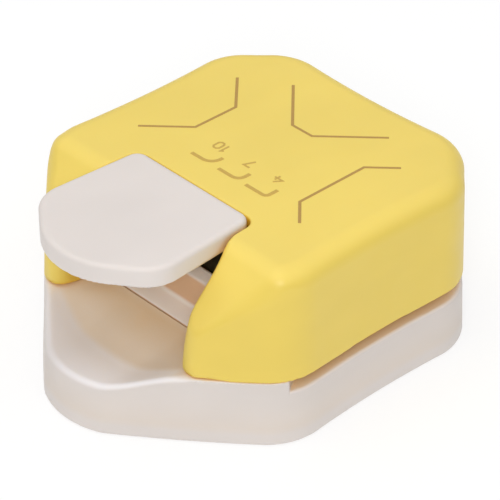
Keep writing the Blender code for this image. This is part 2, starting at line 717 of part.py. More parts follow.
def lever():
    edge = 0.9
    rings = [(PADDLE_Z0, paddle_outline(0.25)), (PADDLE_Z0 + 0.4, paddle_outline())]
    rings += [(PADDLE_Z1 - edge + edge * math.sin(math.radians(a)),
               paddle_outline(edge * (1 - math.cos(math.radians(a))))) for a in (0, 30, 60, 90)]
    body = loft("lever", rings, "white")
    cut(body, loft("paddle_hollow", [(29, paddle_outline(1.8)), (PADDLE_HOLLOW_Z, paddle_outline(2.0))]))
    # Side view of an arm: under the paddle, back under the cover's top, and down to the pivot.
    arm = [(-24, 31.0), (-19.5, 30.7), (-12, 28.9), (12, 28.9), (16.8, 27.0), (20, 26.0),
           (22.8, 27.5), (22.0, 30.0), (18, 31.4), (-18.2, 31.4), (-18.4, 33.6), (-24, 33.6)]
    for side in (-1, 1):
        join(body, side_prism(f"arm_{side}", sorted((side * ARM_IN, side * ARM_OUT)), arm))
        join(body, cylinder(f"arm_boss_{side}", (side * (ARM_IN + ARM_OUT + 0.2) / 2, PIVOT_Y, PIVOT_Z),
                            BOSS_R, ARM_OUT - ARM_IN + 0.2, "X"))
    join(body, box("lever_web", (-WEB_HALF, WEB_HALF), (-24, 15), (30.3, 31.35)))
    join(body, box("lever_web_front", (-WEB_HALF, WEB_HALF), (-24, -18.3), (30.8, 33.6)))
    join(body, box("cam_web", (-5.6, 5.6), (CAM_Y - 1.1, CAM_Y + 1.1), (CAM_Z, 31)))
    join(body, cylinder("cam", (0, CAM_Y, CAM_Z), CAM_R, 11.6, "X"))
    cut(body, cylinder("lever_bore", (0, PIVOT_Y, PIVOT_Z), LEVER_PIN_R + 0.15, 40, "X"))
    # The front guide post comes up through this hole when the lever is pressed down.
    cut(body, post("post_clearance", 0, POSTS["front"][1], 25, 35, 2.1))
    return body


def pins():
    cylinder("lever_pin", (0, PIVOT_Y, PIVOT_Z), LEVER_PIN_R, LEVER_PIN_LENGTH, "X", "steel")
    cylinder("lid_pin", (0, LID_AXIS_Y, LID_AXIS_Z), LID_PIN_R, LID_PIN_LENGTH, "X", "steel", 16)


def hang(name, place, pieces):
    """An empty on a joint's axis that carries the pieces that move about it."""
    axis = bpy.data.objects.new(name, None)
    axis.location = place
    parts.objects.link(axis)
    for piece in pieces:
        piece.parent = axis
        piece.matrix_parent_inverse = Matrix.Translation(-place)


def main():
    for obj in list(bpy.data.objects):
        bpy.data.objects.remove(obj)
    bpy.context.scene.collection.children.link(parts)
    bpy.context.scene.collection.children.link(cutters)
    top_cover()
    base_housing()
    inner_frame()
    steel_plates()
    paper_fence()
    posts_and_springs()
    screws()
    pins()
    hang("lever_axis", to_world(0, PIVOT_Y, PIVOT_Z), [lever()])
    hang("lid_axis", to_world(0, LID_AXIS_Y, LID_AXIS_Z), [bottom_lid()])
    hang("punch_axis", to_world(0, 0, DECK_Z), [*punches(), punch_carrier()])


main()
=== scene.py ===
"""Looks of the three-way corner rounder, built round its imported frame.

The mouldings are written as distance fields: a formula gives how far a point is outside the
surface, edges are rounded where two such distances meet, and surface_net() turns the field into
a mesh. Shapes are worked out in millimetres in the punch's own plan: the middle of the three
fences is (0, 0), -Y is towards the thumb and Z is the height above the table.
"""

import math

import bmesh
import bpy
import numpy as np
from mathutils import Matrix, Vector


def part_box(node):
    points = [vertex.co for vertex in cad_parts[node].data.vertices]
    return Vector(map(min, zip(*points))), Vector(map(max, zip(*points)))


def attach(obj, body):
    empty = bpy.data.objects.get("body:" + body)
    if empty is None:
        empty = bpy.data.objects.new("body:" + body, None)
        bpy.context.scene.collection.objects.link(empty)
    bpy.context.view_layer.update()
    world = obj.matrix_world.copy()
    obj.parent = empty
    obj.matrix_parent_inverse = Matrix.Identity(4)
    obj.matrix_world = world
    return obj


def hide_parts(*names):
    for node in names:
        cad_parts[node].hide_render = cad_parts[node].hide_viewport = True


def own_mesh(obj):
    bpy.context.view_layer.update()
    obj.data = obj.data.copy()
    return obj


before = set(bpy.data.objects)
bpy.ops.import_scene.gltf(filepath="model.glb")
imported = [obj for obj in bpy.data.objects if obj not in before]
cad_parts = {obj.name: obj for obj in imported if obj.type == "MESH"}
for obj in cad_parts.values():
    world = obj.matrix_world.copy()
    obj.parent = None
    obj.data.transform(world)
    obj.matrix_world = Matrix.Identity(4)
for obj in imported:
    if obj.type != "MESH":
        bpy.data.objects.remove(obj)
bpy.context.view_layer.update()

MM = 0.001
PIVOT_Y = 20.0                      # the lever pin in the punch's own plan
pin_low, pin_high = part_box("lever_pin")
SHIFT_Y = (pin_low.y + pin_high.y) / 2 / MM - PIVOT_Y
PIVOT_Z = (pin_low.z + pin_high.z) / 2 / MM

# Heights, read from the frame.
SLOT_TOP_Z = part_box("top_cover")[0].z / MM
TOTAL_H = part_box("top_cover")[1].z / MM
LAND_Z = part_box("base_housing")[1].z / MM
PADDLE_TOP_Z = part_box("lever")[1].z / MM
PLATE_TOP_Z = 14.9
DECK_Z = 10.7
CAVITY_Z = 6.6

# Below, a pair called ..._FADE says where a gradual change starts and how long it is; an AHEAD
# fade runs towards the thumb, so it is in -Y. ..._XS, ..._YS and ..._ZS are pairs of limits.
FINE_EDGE = 0.3
BORE_XS = (-20, 20)                 # through everything from side to side

# Outline of the body at the seam: corner points, sags of the sides, radii of the corners.
HALF_WIDTH, SIDE_FRONT_Y, SIDE_BACK_Y = 32.03, -24.27, 17.45
BACK_HALF, BACK_Y = 21.46, 28.80
NOSE_HALF, NOSE_Y = 7.35, -45.74
SIDE_SAG, BACK_SAG, BACK_DIAGONAL_SAG = 0.99, 1.31, 0.42
FRONT_DIAGONAL_SAG, NOSE_SAG = -0.48, -1.82
SIDE_RADIUS, NOSE_RADIUS = 11.75, 6.19

# Cover. Its channel is the opening between the two cheeks, which the lever goes down into.
WALL, CHEEK_WALL, HOLLOW_RADIUS = 2.4, 1.8, 1.5
COVER_DROP = 0.14                   # its lower edge closes the frame's running gap over the base
DRAFT = 0.044
CHANNEL_HALF, CHANNEL_BACK_Y, CHANNEL_RADIUS = 14.82, -17.4, 2.4
CHANNEL_DRAFT = 0.024               # the channel gets narrower downwards
CHANNEL_OPENING = 0.5               # and wider again at its upper front
OPENING_UP_FADE, OPENING_AHEAD_FADE = (17.0, 9.0), (22.0, 6.0)
WIDTH_Y = -20.0                     # where the channel's and the paddle's widths are measured
SIDE_LEAN = math.radians(3.3)       # both get wider towards the thumb
SLOPE_Y, SLOPE_Z, SLOPE_RISE = -27.3, 31.4, 1.175
CROWN_RADIUS, CROWN_COS = 4.5, 0.648        # between the top and the cheeks' sloping faces
WEDGE_RADIUS, WEDGE_COS = 3.0, -0.584       # the cheeks' upright front edges
TOP_FILLET, TOP_CHANNEL_EDGE = 3.74, 0.45   # round the top's outside, and along the channel
SLOPE_SIDE_EDGE = (0.6, 2.0)                # the same two on the slopes, low down and high up
SLOPE_CHANNEL_EDGE = (0.5, 1.3)
SLOPE_EDGE_FADE = (22.0, 9.0)
CROWN_FADE, SIDE_FADE = (-2.0, 4.0), (-1.0, 2.0)    # how one of these edges becomes another
COVER_FOOT_EDGE, FOOT_AHEAD_FADE = (0.3, 1.2), (31.0, 3.5)
CHEEK_BACK_Y = -18.0
COVER_BOSS_RADIUS, COVER_HOLE_RADIUS, BACK_BOSS_Z = 2.8, 1.35, 15.2
COVER_HOLE_ZS = (5, 22)

# Base.
FLARE = 0.057
FOOT_RADIUS = 0.85
RIM = 1.9
DISH_BACK_Y, DISH_VALLEY_Y, DISH_DEPTH = -26.5, -37.2, 3.75
DISH_RISE, DISH_FLAT, DISH_BACK_HALF, DISH_FRONT_HALF = 0.21, 6.0, 15.6, 18.0
DISH_CURVE = 1 / 82                 # how the valley bends back towards the cheeks
DISH_BLEND = 0.3                    # how far the ramp and the rise run into each other
DISH_COS = 0.95                     # makes a distance of the height over the sloping dish
LAND_EDGE, LAND_EDGE_FADE = (1.4, 0.35), (17.0, 3.0)
DECK_EDGE = 0.6
FENCE_FRONT_Y = -14.3
LEAD_IN_FADE = (-4.0, 3.0)          # the slots' front ends turn outwards near the outline
SEAT_HALF, SEAT_Z = 14.75, 11.2
DIE_HALF, DIE_FRONT_Y, DIE_BACK_Y, DIE_THICK = 18.6, -12.1, 11.8, 2.0
DIE_SLANT_Y, DIE_SLANT = 8.8, (2.9, 5.0)    # where its cut-off corners start, and their direction
BASE_HOLE_RADIUS, BASE_HOLE_ZS = 1.45, (3, 20)
LID_AXIS_Y, LID_AXIS_Z, LID_BACK_Y, LID_GAP = 23.0, 2.3, 24.0, 1.3
LUG_XS, LUG_YS, LUG_LOW_Z = (11.4, 13.4), (21.2, 24.8), 0.7
LID_PIN_BORE = 0.95

# Punching: apex of each fence, the direction its slot opens, and the punch's radius.
CORNERS = {
    "right": ((7.83, -0.16), 0.0, 10.0),
    "back": ((0.0, 5.56), 90.0, 4.0),
    "left": ((-8.71, -0.16), 180.0, 7.0),
}
PUNCH_HEEL, PUNCH_TIP = 0.7, 0.5    # how far a punch goes on behind its apex and past its arc
PUNCH_GAP_BASE, PUNCH_GAP_FRAME = 0.8, 0.4
POSTS = [(0.0, -7.5), (-6.7, 5.5), (6.7, 5.5)]
POST_HOLE_RADIUS = 1.22
SPRING_RADIUS, SPRING_WIRE, SPRING_TURNS = 2.2, 0.25, 6.0
SPRING_END = 0.75                   # the turns that lie flat at each end
SPRING_EASE = 0.3                   # how gently the flat turns run into the rise
COVER_SCREWS = [(-20.5, -21.5), (20.5, -21.5), (-15.4, 14.2), (15.4, 14.2)]
GUIDE_SCREWS = [(-13.5, -13.5), (13.5, -13.5)]
GUIDE_HOLE_RADIUS = 1.25

# Lever.
PADDLE_HALF, PADDLE_BACK_Y, PADDLE_LOW_Z = 14.38, -17.8, 31.25
PADDLE_NOSE_Y, PADDLE_NOSE_RADIUS, PADDLE_SHOULDER_RADIUS = -33.15, 14.5, 7.1
PADDLE_BACK_RADIUS = 2.4
PADDLE_SLANT = math.radians(37.5)
PADDLE_TOP_EDGE, PADDLE_LOW_EDGE = 1.0, 0.4
PADDLE_WALL, PADDLE_SKIN = 1.8, 2.0
RIB_X, RIB_Y, RIB_HALF = 4.6, -30.0, 0.6
ARM_XS, ARM_FRONT_Y, ARM_BACK_Y = (7.5, 10.5), -24.0, 21.5
ARM_STEP_Y, ARM_FRONT_TOP_Z, ARM_TOP_Z = -18.3, 33.6, 31.4  # it is higher in front of the step
ARM_TOP_BEND_Y, ARM_TOP_FALL = 18.0, 0.35
ARM_ROOT_Y, ARM_ROOT_Z, ARM_ROOT_FALL = -19.5, 30.7, 0.24   # its lower edge: the root, the middle
ARM_LOW_Z, ARM_LOW_BEND_Y, ARM_LOW_FALL = 28.9, 12.0, 0.36  # and the end by the pivot
LEVER_BOSS_RADIUS, LEVER_BORE = 3.2, 1.65
LEVER_BOSS_XS = (7.5, 10.7)
WEB_HALF, WEB_BACK_Y, WEB_ZS, WEB_FRONT_Z = 9.5, 15.0, (30.3, 31.35), 30.8
CAM_HALF, CAM_NOSE_HALF, CAM_YS, CAM_TOP_Z = 5.6, 5.8, (-2.1, 0.1), 31.0
CAM_NOSE_Y, CAM_NOSE_Z, CAM_NOSE_RADIUS = -1.0, 28.0, 1.2
WEB_HOLE_RADIUS, WEB_HOLE_ZS = 2.1, (25, 35)

# Frame.
PLATE_FRONT_Y, PLATE_INSET, PLATE_GAP = -17.5, 0.3, 0.14
PLATE_HOLE_ZS = (5, 18)
TONGUE_HALF, TONGUE_YS, TONGUE_LOW_Z = 13.5, (-20.8, -17.0), 13.3
UPRIGHT_HALF, UPRIGHT_YS, UPRIGHT_ZS = 14.4, (-22.2, -19.3), (11.5, 20.3)
UPRIGHT_TILT, FLANGE_TILT = 0.3, 0.15       # their tops fall towards the front
FLANGE_HALF, FLANGE_BACK_Y, FLANGE_ZS = 14.55, -20.0, (11.9, 13.6)
FLANGE_GAP = 0.05
EAR_XS, EAR_YS, EAR_LOW_Z = (11.1, 13.3), (16.8, 23.2), 14.0
EAR_RADIUS, EAR_BORE = 3.2, 1.62

# Printing on the top.
INK_LIFT, INK_SINK = 0.025, 0.03    # how far the print stands over the top, and goes into it
CORNER_MARK_LINE, PICTOGRAM_LINE, NUMERAL_LINE = 0.55, 0.75, 0.4
PICTOGRAM_WIDTH, PICTOGRAM_HEIGHT, PICTOGRAM_Y = 5.0, 2.8, -8.3
NUMERAL_INDENT, NUMERAL_Y, NUMERAL_SCALE = 1.5, -5.0, 1.3

# Meshing: how far apart slopes are measured, and how points are drawn to the surface.
SLOPE_PROBE, NORMAL_PROBE = 0.02, 0.06
PROJECTIONS, LEAST_SLOPE = 4, 0.05


# ---------------------------------------------------------------- distance fields

def rounded(a, b, radius, cos=0.0):
    """Inside both fields, with their common edge rounded; cos is that of the angle between normals."""
    u, v = a + radius, b + radius
    on_edge = (u >= v * cos) & (v >= u * cos)
    reach = np.sqrt(np.maximum(u * u + v * v - 2 * u * v * cos, 0) / (1 - cos * cos)) - radius
    return np.where(on_edge, reach, np.maximum(a, b))


def joined(a, b, radius):
    """Inside either field, with a fillet of the given radius in the corner between them."""
    return -rounded(-a, -b, radius)


def smooth_step(t):
    """From 0 to 1 with no corner at either end."""
    t = np.clip(t, 0.0, 1.0)
    return t * t * (3 - 2 * t)


def fade(value, start, length):
    """A gradual change from 0 to 1 that starts at a value and takes a length."""
    return smooth_step((value - start) / length)


def mix(a, b, t):
    return a + (b - a) * t


def slab(value, low, high):
    """Distance outside a pair of limits."""
    return np.maximum(low - value, value - high)


def block(x, y, z, xs, ys, zs, radius=FINE_EDGE):
    """A box with rounded edges, from pairs of limits."""
    flat = rounded(slab(x, *xs), slab(y, *ys), radius)
    return rounded(flat, slab(z, *zs), radius)


def rod(x, y, z, centre, radius, zs):
    """An upright rod."""
    return rounded(np.hypot(x - centre[0], y - centre[1]) - radius, slab(z, *zs), 0.2)


def cross_rod(x, y, z, centre_y, centre_z, radius, xs):
    """A rod that lies across the punch."""
    return rounded(np.hypot(y - centre_y, z - centre_z) - radius, slab(x, *xs), FINE_EDGE)


def circle_crossing(c1, r1, c2, r2, near):
    """The crossing of two circles that lies nearer to a point."""
    apart = c2 - c1
    along = (r1 * r1 - r2 * r2 + apart.length_squared) / (2 * apart.length)
    across = math.sqrt(max(r1 * r1 - along * along, 0.0))
    middle = c1 + apart.normalized() * along
    normal = Vector((-apart.y, apart.x)).normalized()
    return min((middle + normal * across, middle - normal * across), key=lambda p: (p - near).length)


def outline_arcs():
    """The outline as arcs: (centre x, centre y, radius, sign, first angle, sweep)."""
    w = HALF_WIDTH
    points = [Vector(p) for p in (
        (w, SIDE_FRONT_Y), (w, SIDE_BACK_Y), (BACK_HALF, BACK_Y), (-BACK_HALF, BACK_Y),
        (-w, SIDE_BACK_Y), (-w, SIDE_FRONT_Y), (-NOSE_HALF, NOSE_Y), (NOSE_HALF, NOSE_Y))]
    sags = [SIDE_SAG, BACK_DIAGONAL_SAG, BACK_SAG, BACK_DIAGONAL_SAG,
            SIDE_SAG, FRONT_DIAGONAL_SAG, NOSE_SAG, FRONT_DIAGONAL_SAG]
    radii = [SIDE_RADIUS] * 6 + [NOSE_RADIUS] * 2
    sides = []
    for i, sag in enumerate(sags):
        a, b = points[i], points[(i + 1) % 8]
        chord = (b - a).length
        radius = (chord * chord / 4 + sag * sag) / (2 * abs(sag))
        hollow = 1 if sag > 0 else -1
        outward = Vector((b.y - a.y, a.x - b.x)) / chord
        sides.append(((a + b) / 2 + outward * (radius * hollow - sag), radius, hollow))
    centres = []
    for i, radius in enumerate(radii):
        (c1, r1, k1), (c2, r2, k2) = sides[i - 1], sides[i]
        centres.append(circle_crossing(c1, r1 + k1 * radius, c2, r2 + k2 * radius, points[i]))
    arcs = []
    for i, radius in enumerate(radii):
        (c1, _, k1), (c2, r2, k2) = sides[i - 1], sides[i]
        centre, following = centres[i], centres[(i + 1) % 8]
        from_1, from_2 = (c1 - centre) * k1, (c2 - centre) * k2
        start = math.atan2(from_1.y, from_1.x)
        sweep = (math.atan2(from_2.y, from_2.x) - start) % (2 * math.pi)
        arcs.append((centre.x, centre.y, radius, 1, start, sweep))
        first = math.atan2(centre.y - c2.y, centre.x - c2.x)
        last = math.atan2(following.y - c2.y, following.x - c2.x)
        swing = (last - first + math.pi) % (2 * math.pi) - math.pi
        arcs.append((c2.x, c2.y, r2, -k2, first, swing))
    return arcs


ARCS = outline_arcs()


def plan_distance(x, y):
    """Distance outside the body's outline, in plan."""
    x, y = np.broadcast_arrays(x, y)
    best = np.full(x.shape, 1e6)
    slack = 1e-4
    for cx, cy, radius, sign, first, sweep in ARCS:
        turned = np.arctan2(y - cy, x - cx) - first
        turned = (turned if sweep > 0 else -turned) + slack
        within = turned % (2 * math.pi) <= abs(sweep) + 2 * slack
        value = sign * (np.hypot(x - cx, y - cy) - radius)
        best = np.where(within & (np.abs(value) < np.abs(best)), value, best)
    return best


def corner_distance(x, y, corner, grow):
    """Distance outside one punch's outline, grown on every side by grow."""
    (ax, ay), heading, radius = CORNERS[corner]
    first, second = math.radians(heading + 45), math.radians(heading - 45)
    a = (x - ax) * math.cos(first) + (y - ay) * math.sin(first)
    b = (x - ax) * math.cos(second) + (y - ay) * math.sin(second)
    back, tip = -PUNCH_HEEL - grow, radius + PUNCH_TIP + grow
    square = np.maximum(slab(a, back, tip), slab(b, back, tip))
    beyond = np.maximum(a, b) > radius
    curve = np.where(beyond, np.minimum(a, b) - grow, radius - grow - np.hypot(a - radius, b - radius))
    return np.maximum(square, curve)


def slope_distance(y, z):
    """Distance in front of the cheeks' sloping face."""
    return (SLOPE_Y + (z - SLOPE_Z) / SLOPE_RISE - y) / math.hypot(1, 1 / SLOPE_RISE)


def leaning(x, y, half):
    """Distance outside the two sides of a strip that gets wider towards the thumb."""
    return (np.abs(x) - half) * math.cos(SIDE_LEAN) + (y - WIDTH_Y) * math.sin(SIDE_LEAN)


def cover_field(x, y, z):
    """The cover: sides, top and slopes, less the channel, the hollow and the screw holes."""
    side = plan_distance(x, y) + DRAFT * (z - SLOT_TOP_Z)
    top, slope = z - TOTAL_H, slope_distance(y, z)
    crown = rounded(top, slope, CROWN_RADIUS, CROWN_COS)
    opened = CHANNEL_OPENING * fade(z, *OPENING_UP_FADE) * fade(-y, *OPENING_AHEAD_FADE)
    half = CHANNEL_HALF - CHANNEL_DRAFT * (TOTAL_H - z) + opened
    channel = rounded(leaning(x, y, half), y - CHANNEL_BACK_Y, CHANNEL_RADIUS, math.sin(SIDE_LEAN))
    walls = rounded(side, -channel, WEDGE_RADIUS, WEDGE_COS)
    on_slope, by_side = fade(slope - top, *CROWN_FADE), fade(side + channel, *SIDE_FADE)
    high_up = fade(z, *SLOPE_EDGE_FADE)
    channel_edge = mix(TOP_CHANNEL_EDGE, mix(*SLOPE_CHANNEL_EDGE, high_up), on_slope)
    side_edge = mix(TOP_FILLET, mix(*SLOPE_SIDE_EDGE, high_up), on_slope)
    body = rounded(walls, crown, mix(channel_edge, side_edge, by_side))
    foot = mix(*COVER_FOOT_EDGE, fade(-y, *FOOT_AHEAD_FADE))
    body = rounded(body, SLOT_TOP_Z - COVER_DROP - z, foot)
    hollow = rounded(np.maximum(side + WALL, slope + CHEEK_WALL), top + WALL, HOLLOW_RADIUS)
    cheek_walls = np.maximum(leaning(x, y, CHANNEL_HALF + CHEEK_WALL), y - CHEEK_BACK_Y)
    hollow = np.maximum(hollow, -cheek_walls)
    body = rounded(body, -hollow, FINE_EDGE)
    for px, py in COVER_SCREWS:
        low = SLOT_TOP_Z if py < 0 else BACK_BOSS_Z
        boss = rod(x, y, z, (px, py), COVER_BOSS_RADIUS, (low, TOTAL_H - WALL + 1))
        body = joined(body, boss, 0.6)
        body = np.maximum(body, -rod(x, y, z, (px, py), COVER_HOLE_RADIUS, COVER_HOLE_ZS))
    return body


def dish_z(x, y):
    """Height of the thumb dish: a ramp down to a valley, then a gentle rise to the nose."""
    bend = DISH_CURVE * np.minimum(x * x, DISH_FRONT_HALF ** 2)
    along = (DISH_BACK_Y - y) / (DISH_BACK_Y - DISH_VALLEY_Y - bend)
    back, front = along, 1 - DISH_RISE * (along - 1)
    overlap = np.maximum(DISH_BLEND - np.abs(back - front), 0.0)
    depth = np.maximum(np.minimum(back, front) - overlap * overlap / (4 * DISH_BLEND), 0.0)
    half = mix(DISH_BACK_HALF, DISH_FRONT_HALF, fade(along, 0.3, 1.0))
    return LAND_Z - DISH_DEPTH * depth * (1 - fade(np.abs(x), DISH_FLAT, half - DISH_FLAT))


def base_field(x, y, z):
    """The base: deck, front land and dish, less the chip chamber and the places for steel parts."""
    plan = plan_distance(x, y)
    side = plan - FLARE * np.maximum(DECK_Z - z, 0)
    wall = rounded(side, -z, FOOT_RADIUS)
    across = np.abs(x)
    land_edge = mix(*LAND_EDGE, fade(across, *LAND_EDGE_FADE))
    body = rounded(wall, (z - dish_z(x, y)) * DISH_COS, land_edge)
    deck = rounded(body, z - DECK_Z, DECK_EDGE)
    right = (x + y - (CORNERS["right"][0][0] + CORNERS["right"][0][1])) * math.sqrt(0.5)
    left = (-x + y + (CORNERS["left"][0][0] - CORNERS["left"][0][1])) * math.sqrt(0.5)
    lead_in = fade(plan, *LEAD_IN_FADE)
    land_plan = np.maximum(np.maximum(right, left) + lead_in, y - FENCE_FRONT_Y)
    land = rounded(body, land_plan, 0.2)
    seat = np.maximum(across - SEAT_HALF, np.maximum(slab(y, DISH_BACK_Y, 0.0), SEAT_Z - z))
    land = rounded(land, -seat, 0.15)
    body = np.minimum(deck, land)
    chamber = rounded(np.maximum(plan + RIM, y - LID_BACK_Y - LID_GAP), z - CAVITY_Z, 0.8)
    body = rounded(body, -chamber, FINE_EDGE)
    slant = DIE_SLANT[0] * (across - DIE_HALF) + DIE_SLANT[1] * (y - DIE_SLANT_Y)
    slant = slant / math.hypot(*DIE_SLANT)
    die_seat = np.maximum(np.maximum(across - DIE_HALF, slant), slab(y, DIE_FRONT_Y, DIE_BACK_Y))
    body = np.maximum(body, -np.maximum(die_seat, DECK_Z - DIE_THICK - z))
    for corner in CORNERS:
        body = np.maximum(body, -corner_distance(x, y, corner, PUNCH_GAP_BASE))
    for centre in COVER_SCREWS:
        body = np.maximum(body, -rod(x, y, z, centre, BASE_HOLE_RADIUS, BASE_HOLE_ZS))
    for s in (-1, 1):
        lug = block(x * s, y, z, LUG_XS, LUG_YS, (LUG_LOW_Z, CAVITY_Z + 1.0))
        body = joined(body, lug, 0.5)
    return np.maximum(body, -cross_rod(x, y, z, LID_AXIS_Y, LID_AXIS_Z, LID_PIN_BORE, BORE_XS))


def paddle_plan(x, y):
    """Distance outside the thumb paddle's outline."""
    across, ahead = np.abs(x), PADDLE_NOSE_Y - y
    slant = across * math.sin(PADDLE_SLANT) + ahead * math.cos(PADDLE_SLANT) - PADDLE_NOSE_RADIUS
    on_nose = np.arctan2(across, ahead) < PADDLE_SLANT
    front = np.where(on_nose, np.hypot(across, ahead) - PADDLE_NOSE_RADIUS, slant)
    sides = rounded(leaning(x, y, PADDLE_HALF), y - PADDLE_BACK_Y, PADDLE_BACK_RADIUS,
                    math.sin(SIDE_LEAN))
    return rounded(sides, front, PADDLE_SHOULDER_RADIUS, math.sin(PADDLE_SLANT - SIDE_LEAN))


def arm_field(x, y, z):
    """The two arms and the web that go back under the cover to the pivot."""
    across = np.abs(x)
    low = np.maximum(ARM_LOW_Z, ARM_ROOT_Z - np.maximum(y - ARM_ROOT_Y, 0) * ARM_ROOT_FALL)
    low = np.where(y > ARM_LOW_BEND_Y, ARM_LOW_Z - (y - ARM_LOW_BEND_Y) * ARM_LOW_FALL, low)
    high = ARM_TOP_Z - np.maximum(y - ARM_TOP_BEND_Y, 0) * ARM_TOP_FALL
    high = np.where(y < ARM_STEP_Y, ARM_FRONT_TOP_Z, high)
    arm = rounded(slab(across, *ARM_XS), slab(z, low, high), FINE_EDGE)
    arm = rounded(arm, slab(y, ARM_FRONT_Y, ARM_BACK_Y), 0.5)
    boss = cross_rod(across, y, z, PIVOT_Y, PIVOT_Z, LEVER_BOSS_RADIUS, LEVER_BOSS_XS)
    arm = joined(arm, boss, 0.8)
    web_xs = (-WEB_HALF, WEB_HALF)
    web = block(x, y, z, web_xs, (ARM_FRONT_Y, WEB_BACK_Y), WEB_ZS)
    front_web = block(x, y, z, web_xs, (ARM_FRONT_Y, ARM_STEP_Y), (WEB_FRONT_Z, ARM_FRONT_TOP_Z))
    web = np.minimum(web, front_web)
    cam = block(x, y, z, (-CAM_HALF, CAM_HALF), CAM_YS, (CAM_NOSE_Z, CAM_TOP_Z))
    cam_nose = cross_rod(x, y, z, CAM_NOSE_Y, CAM_NOSE_Z, CAM_NOSE_RADIUS,
                         (-CAM_NOSE_HALF, CAM_NOSE_HALF))
    body = joined(joined(arm, web, 0.6), joined(cam, cam_nose, 0.3), 0.5)
    body = np.maximum(body, -rod(x, y, z, POSTS[0], WEB_HOLE_RADIUS, WEB_HOLE_ZS))
    return np.maximum(body, -cross_rod(x, y, z, PIVOT_Y, PIVOT_Z, LEVER_BORE, BORE_XS))


def lever_field(x, y, z):
    """The lever: a paddle with a ribbed hollow under it, joined to its arms."""
    plan = paddle_plan(x, y)
    skin = rounded(plan, z - PADDLE_TOP_Z, PADDLE_TOP_EDGE)
    skin = rounded(skin, PADDLE_LOW_Z - z, PADDLE_LOW_EDGE)
    hollow = rounded(plan + PADDLE_WALL, z - PADDLE_TOP_Z + PADDLE_SKIN, 0.8)
    ribs = np.minimum(np.abs(np.abs(x) - RIB_X) - RIB_HALF, np.abs(y - RIB_Y) - RIB_HALF)
    skin = np.maximum(skin, -np.maximum(hollow, -ribs))
    return joined(skin, arm_field(x, y, z), 0.4)


def frame_field(x, y, z):
    """The inner frame: a plate with ears for the pivot, and the upright and flange in front."""
    plate = np.maximum(plan_distance(x, y) + WALL + PLATE_INSET, PLATE_FRONT_Y - y)
    body = rounded(plate, slab(z, SLOT_TOP_Z + PLATE_GAP, PLATE_TOP_Z), FINE_EDGE)
    tongue = block(x, y, z, (-TONGUE_HALF, TONGUE_HALF), TONGUE_YS, (TONGUE_LOW_Z, PLATE_TOP_Z))
    body = np.minimum(body, tongue)
    wall = block(x, y, z - UPRIGHT_TILT * (y - UPRIGHT_YS[1]), (-UPRIGHT_HALF, UPRIGHT_HALF),
                 UPRIGHT_YS, UPRIGHT_ZS, 0.6)
    flange = block(x, y, z - FLANGE_TILT * (y - UPRIGHT_YS[0]), (-FLANGE_HALF, FLANGE_HALF),
                   (DISH_BACK_Y + FLANGE_GAP, FLANGE_BACK_Y), FLANGE_ZS, 0.2)
    body = joined(body, joined(wall, flange, 0.9), 0.5)
    across = np.abs(x)
    ear = joined(block(across, y, z, EAR_XS, EAR_YS, (EAR_LOW_Z, PIVOT_Z)),
                 cross_rod(across, y, z, PIVOT_Y, PIVOT_Z, EAR_RADIUS, EAR_XS), 0.1)
    body = joined(body, ear, 0.8)
    body = np.maximum(body, -cross_rod(x, y, z, PIVOT_Y, PIVOT_Z, EAR_BORE, BORE_XS))
    for corner in CORNERS:
        body = np.maximum(body, -corner_distance(x, y, corner, PUNCH_GAP_FRAME))
    holes = [(POSTS, POST_HOLE_RADIUS), (GUIDE_SCREWS, GUIDE_HOLE_RADIUS),
             (COVER_SCREWS[2:], BASE_HOLE_RADIUS)]
    for centres, radius in holes:
        for centre in centres:
            body = np.maximum(body, -rod(x, y, z, centre, radius, PLATE_HOLE_ZS))
    return body


# ---------------------------------------------------------------- meshes

def gradient(field, p, step):
    """Slope of a field at points, by central differences."""
    parts = []
    for axis in range(3):
        shift = np.zeros(3)
        shift[axis] = step
        parts.append(field(*(p + shift).T) - field(*(p - shift).T))
    return np.stack(parts, axis=1) / (2 * step)


def edge_crossings(values, axes, active):
    """For each cell that the surface crosses, the mean place where it crosses the cell's edges."""
    shape = np.array(values.shape) - 1
    total = np.zeros((*shape, 3))
    count = np.zeros(shape)
    inside = values < 0
    for axis in range(3):
        low = [slice(None)] * 3
        high = [slice(None)] * 3
        low[axis], high[axis] = slice(None, -1), slice(1, None)
        a, b = values[tuple(low)], values[tuple(high)]
        crossed = inside[tuple(low)] != inside[tuple(high)]
        part = np.where(crossed, a / np.where(crossed, a - b, 1.0), 0.0)
        others = [k for k in range(3) if k != axis]
        for i in (0, 1):
            for j in (0, 1):
                pick = [slice(None)] * 3
                pick[others[0]] = slice(i, i + shape[others[0]])
                pick[others[1]] = slice(j, j + shape[others[1]])
                hit = crossed[tuple(pick)]
                count += hit
                total[..., axis] += part[tuple(pick)]
                total[..., others[0]] += hit * i
                total[..., others[1]] += hit * j
    cells = np.argwhere(active)
    mean = total[active] / np.maximum(count[active], 1)[:, None]
    start = np.array([a[0] for a in axes])
    step = np.array([a[1] - a[0] for a in axes])
    return start + (cells + mean) * step


